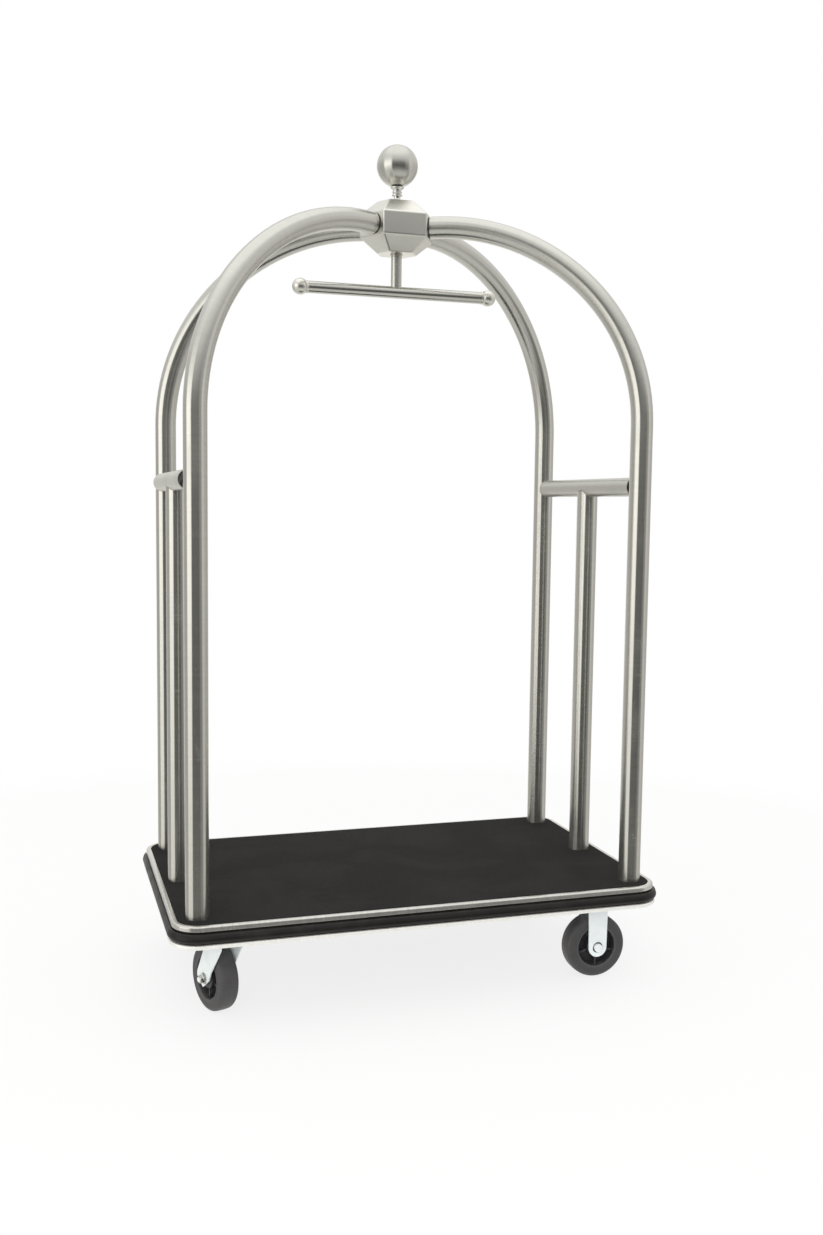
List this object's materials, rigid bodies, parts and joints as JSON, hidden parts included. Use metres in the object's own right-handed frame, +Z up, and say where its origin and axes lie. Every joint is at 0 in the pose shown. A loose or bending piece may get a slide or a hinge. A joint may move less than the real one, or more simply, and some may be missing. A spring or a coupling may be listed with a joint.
{
  "type": "hotel luggage cart",
  "caption": "Birdcage luggage cart: carpeted deck with bumper on two swivel and two rigid casters, bent stainless tubes meeting at a hub with ball finial and hanger bar.",
  "frame": {"origin": "on the floor under the middle of the deck", "axes": "+Z up; +X along the deck from the swivel casters to the rigid casters; the front long side faces -Y"},
  "size_m": [1.148, 0.696, 1.9591],
  "materials": {
    "steel": "satin stainless tube, brushed along its length",
    "bright": "polished stainless",
    "zinc": "bright zinc-plated pressed steel",
    "carpet": "short-pile charcoal carpet",
    "vinyl": "semi-gloss black extruded vinyl",
    "rubber": "soft grey rubber",
    "core": "moulded black nylon",
    "board": "plywood board, hidden under the carpet",
    "painted": "black powder coat"
  },
  "bodies": {
    "root": {"arch_front_left": "steel", "arch_back_left": "steel", "arch_front_right": "steel", "arch_back_right": "steel", "mid_post_left": "steel", "mid_post_right": "steel", "crossbar_left": "steel", "crossbar_right": "steel", "hub": "steel", "finial_ball": "steel", "hanger_rod": "steel", "hanger_bar": "steel", "hanger_ball_left": "steel", "hanger_ball_right": "steel", "trim_top": "steel", "trim_bottom": "steel", "finial_neck": "bright", "deck_carpet": "carpet", "deck_board": "board", "bumper": "vinyl", "frame_ring": "painted", "caster_beam_left": "painted", "caster_beam_right": "painted", "cross_beam": "painted", "underside_sheet": "painted", "post_anchor_front_left": "painted", "post_anchor_back_left": "painted", "post_anchor_front_right": "painted", "post_anchor_back_right": "painted", "post_anchor_mid_left": "painted", "post_anchor_mid_right": "painted", "bushing_front_right": "zinc", "axle_bolt_front_right": "zinc", "axle_nut_front_right": "zinc", "bushing_back_right": "zinc", "axle_bolt_back_right": "zinc", "axle_nut_back_right": "zinc", "rigid_fork_front_right": "zinc", "rigid_fork_back_right": "zinc", "swivel_plate_front_left": "zinc", "kingpin_front_left": "zinc", "swivel_plate_back_left": "zinc", "kingpin_back_left": "zinc"},
    "swivel_front_left": {"bushing_front_left": "zinc", "axle_bolt_front_left": "zinc", "axle_nut_front_left": "zinc", "swivel_fork_front_left": "zinc"},
    "wheel_front_left": {"wheel_core_front_left": "core", "tyre_front_left": "rubber"},
    "swivel_back_left": {"bushing_back_left": "zinc", "axle_bolt_back_left": "zinc", "axle_nut_back_left": "zinc", "swivel_fork_back_left": "zinc"},
    "wheel_back_left": {"wheel_core_back_left": "core", "tyre_back_left": "rubber"},
    "wheel_front_right": {"wheel_core_front_right": "core", "tyre_front_right": "rubber"},
    "wheel_back_right": {"wheel_core_back_right": "core", "tyre_back_right": "rubber"}
  },
  "joints": [
    {"name": "swivel_front_left_turn", "type": "hinge", "parent": "root", "child": "swivel_front_left", "pos_m": [-0.445, -0.235, 0.18], "axis": [0, 0, 1], "continuous": true},
    {"name": "wheel_front_left_spin", "type": "hinge", "parent": "swivel_front_left", "child": "wheel_front_left", "pos_m": [-0.45932, -0.1934, 0.075], "axis": [-0.9455, -0.3256, 0], "continuous": true},
    {"name": "swivel_back_left_turn", "type": "hinge", "parent": "root", "child": "swivel_back_left", "pos_m": [-0.445, 0.235, 0.18], "axis": [0, 0, 1], "continuous": true},
    {"name": "wheel_back_left_spin", "type": "hinge", "parent": "swivel_back_left", "child": "wheel_back_left", "pos_m": [-0.40896, 0.26024, 0.075], "axis": [-0.5736, 0.8192, 0], "continuous": true},
    {"name": "wheel_front_right_spin", "type": "hinge", "parent": "root", "child": "wheel_front_right", "pos_m": [0.4405, -0.235, 0.075], "axis": [0, 1, 0], "continuous": true},
    {"name": "wheel_back_right_spin", "type": "hinge", "parent": "root", "child": "wheel_back_right", "pos_m": [0.4405, 0.235, 0.075], "axis": [0, 1, 0], "continuous": true}
  ]
}
